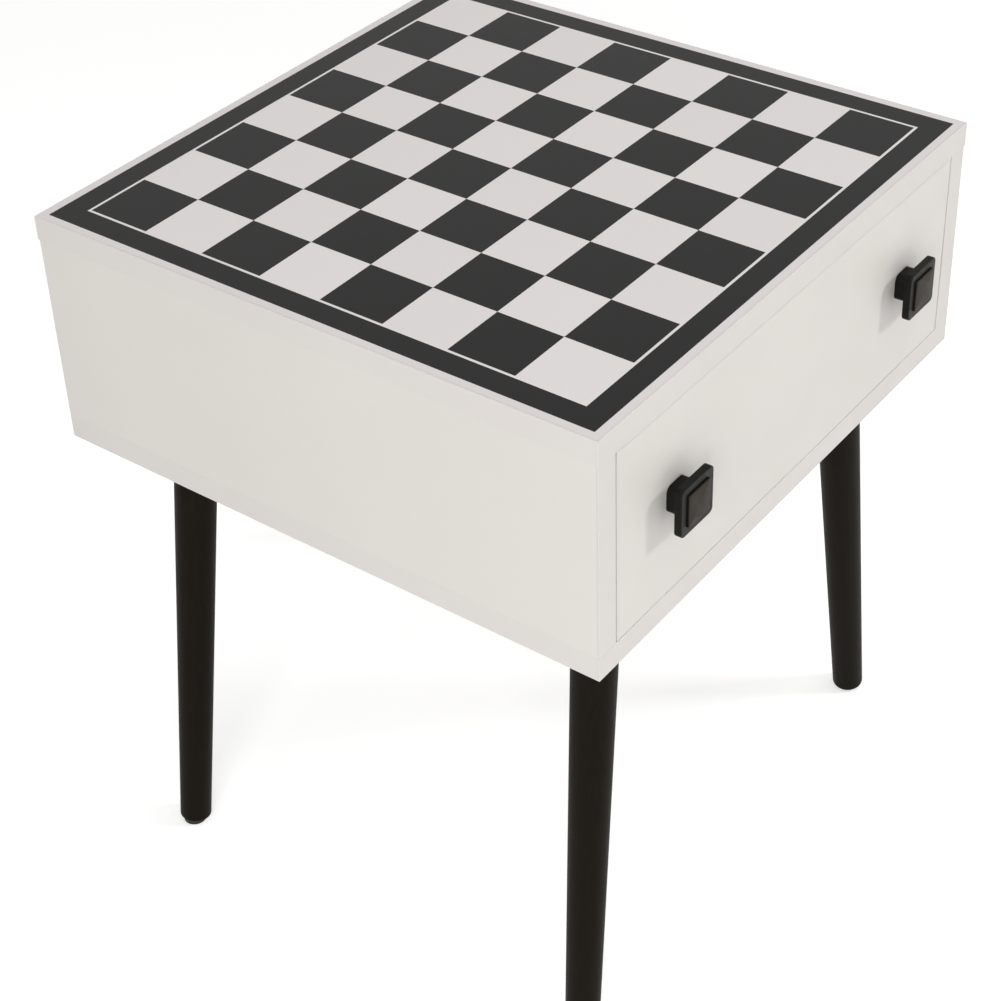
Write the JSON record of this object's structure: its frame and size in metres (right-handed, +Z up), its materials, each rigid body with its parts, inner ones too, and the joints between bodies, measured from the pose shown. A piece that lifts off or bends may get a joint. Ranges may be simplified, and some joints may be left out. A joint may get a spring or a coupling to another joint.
{
  "type": "chess table",
  "caption": "Square chess table with an inlaid board in its top, one inset drawer on roller runners with square knobs, and splayed tapered legs.",
  "frame": {"origin": "centre of the bounding box on the floor", "axes": "+Z up, the drawer faces -Y, +X to the right of someone who faces +Y"},
  "size_m": [0.4552, 0.4716, 0.54],
  "materials": {
    "white_board": "satin white lacquer on particle board",
    "edge_band": "satin white edge banding",
    "white_veneer": "satin white-dyed wood inlay",
    "black_veneer": "satin black-dyed wood inlay",
    "white_hardboard": "white faced hardboard",
    "beech": "plain beech",
    "black_wood": "satin black lacquer on solid wood",
    "black_knob": "satin black lacquer",
    "black_steel": "black powder coat",
    "black_nylon": "moulded nylon",
    "white_nylon": "moulded nylon",
    "rail_steel": "white epoxy coat",
    "zinc_steel": "bright zinc plate",
    "zinc_casting": "die-cast zinc alloy"
  },
  "bodies": {
    "cabinet": {"top_panel": "white_board", "top_edging": "edge_band", "light_squares": "white_veneer", "dark_squares": "black_veneer", "line_strips": "white_veneer", "border_strips": "black_veneer", "left_side_panel": "white_board", "right_side_panel": "white_board", "back_panel": "white_board", "bottom_panel": "white_board", "carcass_edging": "edge_band", "carcass_dowels": "beech", "cam_bolts": "zinc_steel", "cam_locks": "zinc_casting", "confirmat_screws": "zinc_steel", "left_cabinet_rail": "rail_steel", "right_cabinet_rail": "rail_steel", "front_roller_rivets": "zinc_steel", "rail_screws": "zinc_steel", "leg_front_left": "black_wood", "leg_front_right": "black_wood", "leg_back_left": "black_wood", "leg_back_right": "black_wood", "leg_plates": "black_steel", "leg_bolts": "zinc_steel", "plate_screws": "zinc_steel", "leg_glides": "black_nylon"},
    "drawer": {"drawer_front": "white_board", "drawer_front_edging": "edge_band", "drawer_left_side": "white_board", "drawer_right_side": "white_board", "drawer_back": "white_board", "drawer_bottom": "white_hardboard", "drawer_dowels": "beech", "drawer_cam_bolts": "zinc_steel", "drawer_cam_locks": "zinc_casting", "drawer_back_screws": "zinc_steel", "drawer_bottom_screws": "zinc_steel", "left_drawer_rail": "rail_steel", "right_drawer_rail": "rail_steel", "rear_roller_rivets": "zinc_steel", "drawer_rail_screws": "zinc_steel", "left_knob": "black_knob", "right_knob": "black_knob", "knob_screws": "zinc_steel"},
    "left_front_roller": {"left_front_roller": "white_nylon"},
    "right_front_roller": {"right_front_roller": "white_nylon"},
    "left_rear_roller": {"left_rear_roller": "white_nylon"},
    "right_rear_roller": {"right_rear_roller": "white_nylon"}
  },
  "joints": [
    {"name": "drawer_slide", "type": "slide", "parent": "cabinet", "child": "drawer", "axis": [0, -1, 0], "range_m": [0, 0.3]},
    {"name": "left_front_roller_spin", "type": "hinge", "parent": "cabinet", "child": "left_front_roller", "pos_m": [-0.2013, -0.18575, 0.39685], "axis": [1, 0, 0], "continuous": true},
    {"name": "left_rear_roller_spin", "type": "hinge", "parent": "drawer", "child": "left_rear_roller", "pos_m": [-0.2013, 0.18825, 0.3981], "axis": [1, 0, 0], "continuous": true},
    {"name": "right_front_roller_spin", "type": "hinge", "parent": "cabinet", "child": "right_front_roller", "pos_m": [0.2013, -0.18575, 0.39685], "axis": [1, 0, 0], "continuous": true},
    {"name": "right_rear_roller_spin", "type": "hinge", "parent": "drawer", "child": "right_rear_roller", "pos_m": [0.2013, 0.18825, 0.3981], "axis": [1, 0, 0], "continuous": true}
  ],
  "couplings": [
    {"joint": "left_front_roller_spin", "follows": "drawer_slide", "rad_per_m": 136.05},
    {"joint": "left_rear_roller_spin", "follows": "drawer_slide", "rad_per_m": 116.28},
    {"joint": "right_front_roller_spin", "follows": "drawer_slide", "rad_per_m": 136.05},
    {"joint": "right_rear_roller_spin", "follows": "drawer_slide", "rad_per_m": 116.28}
  ]
}
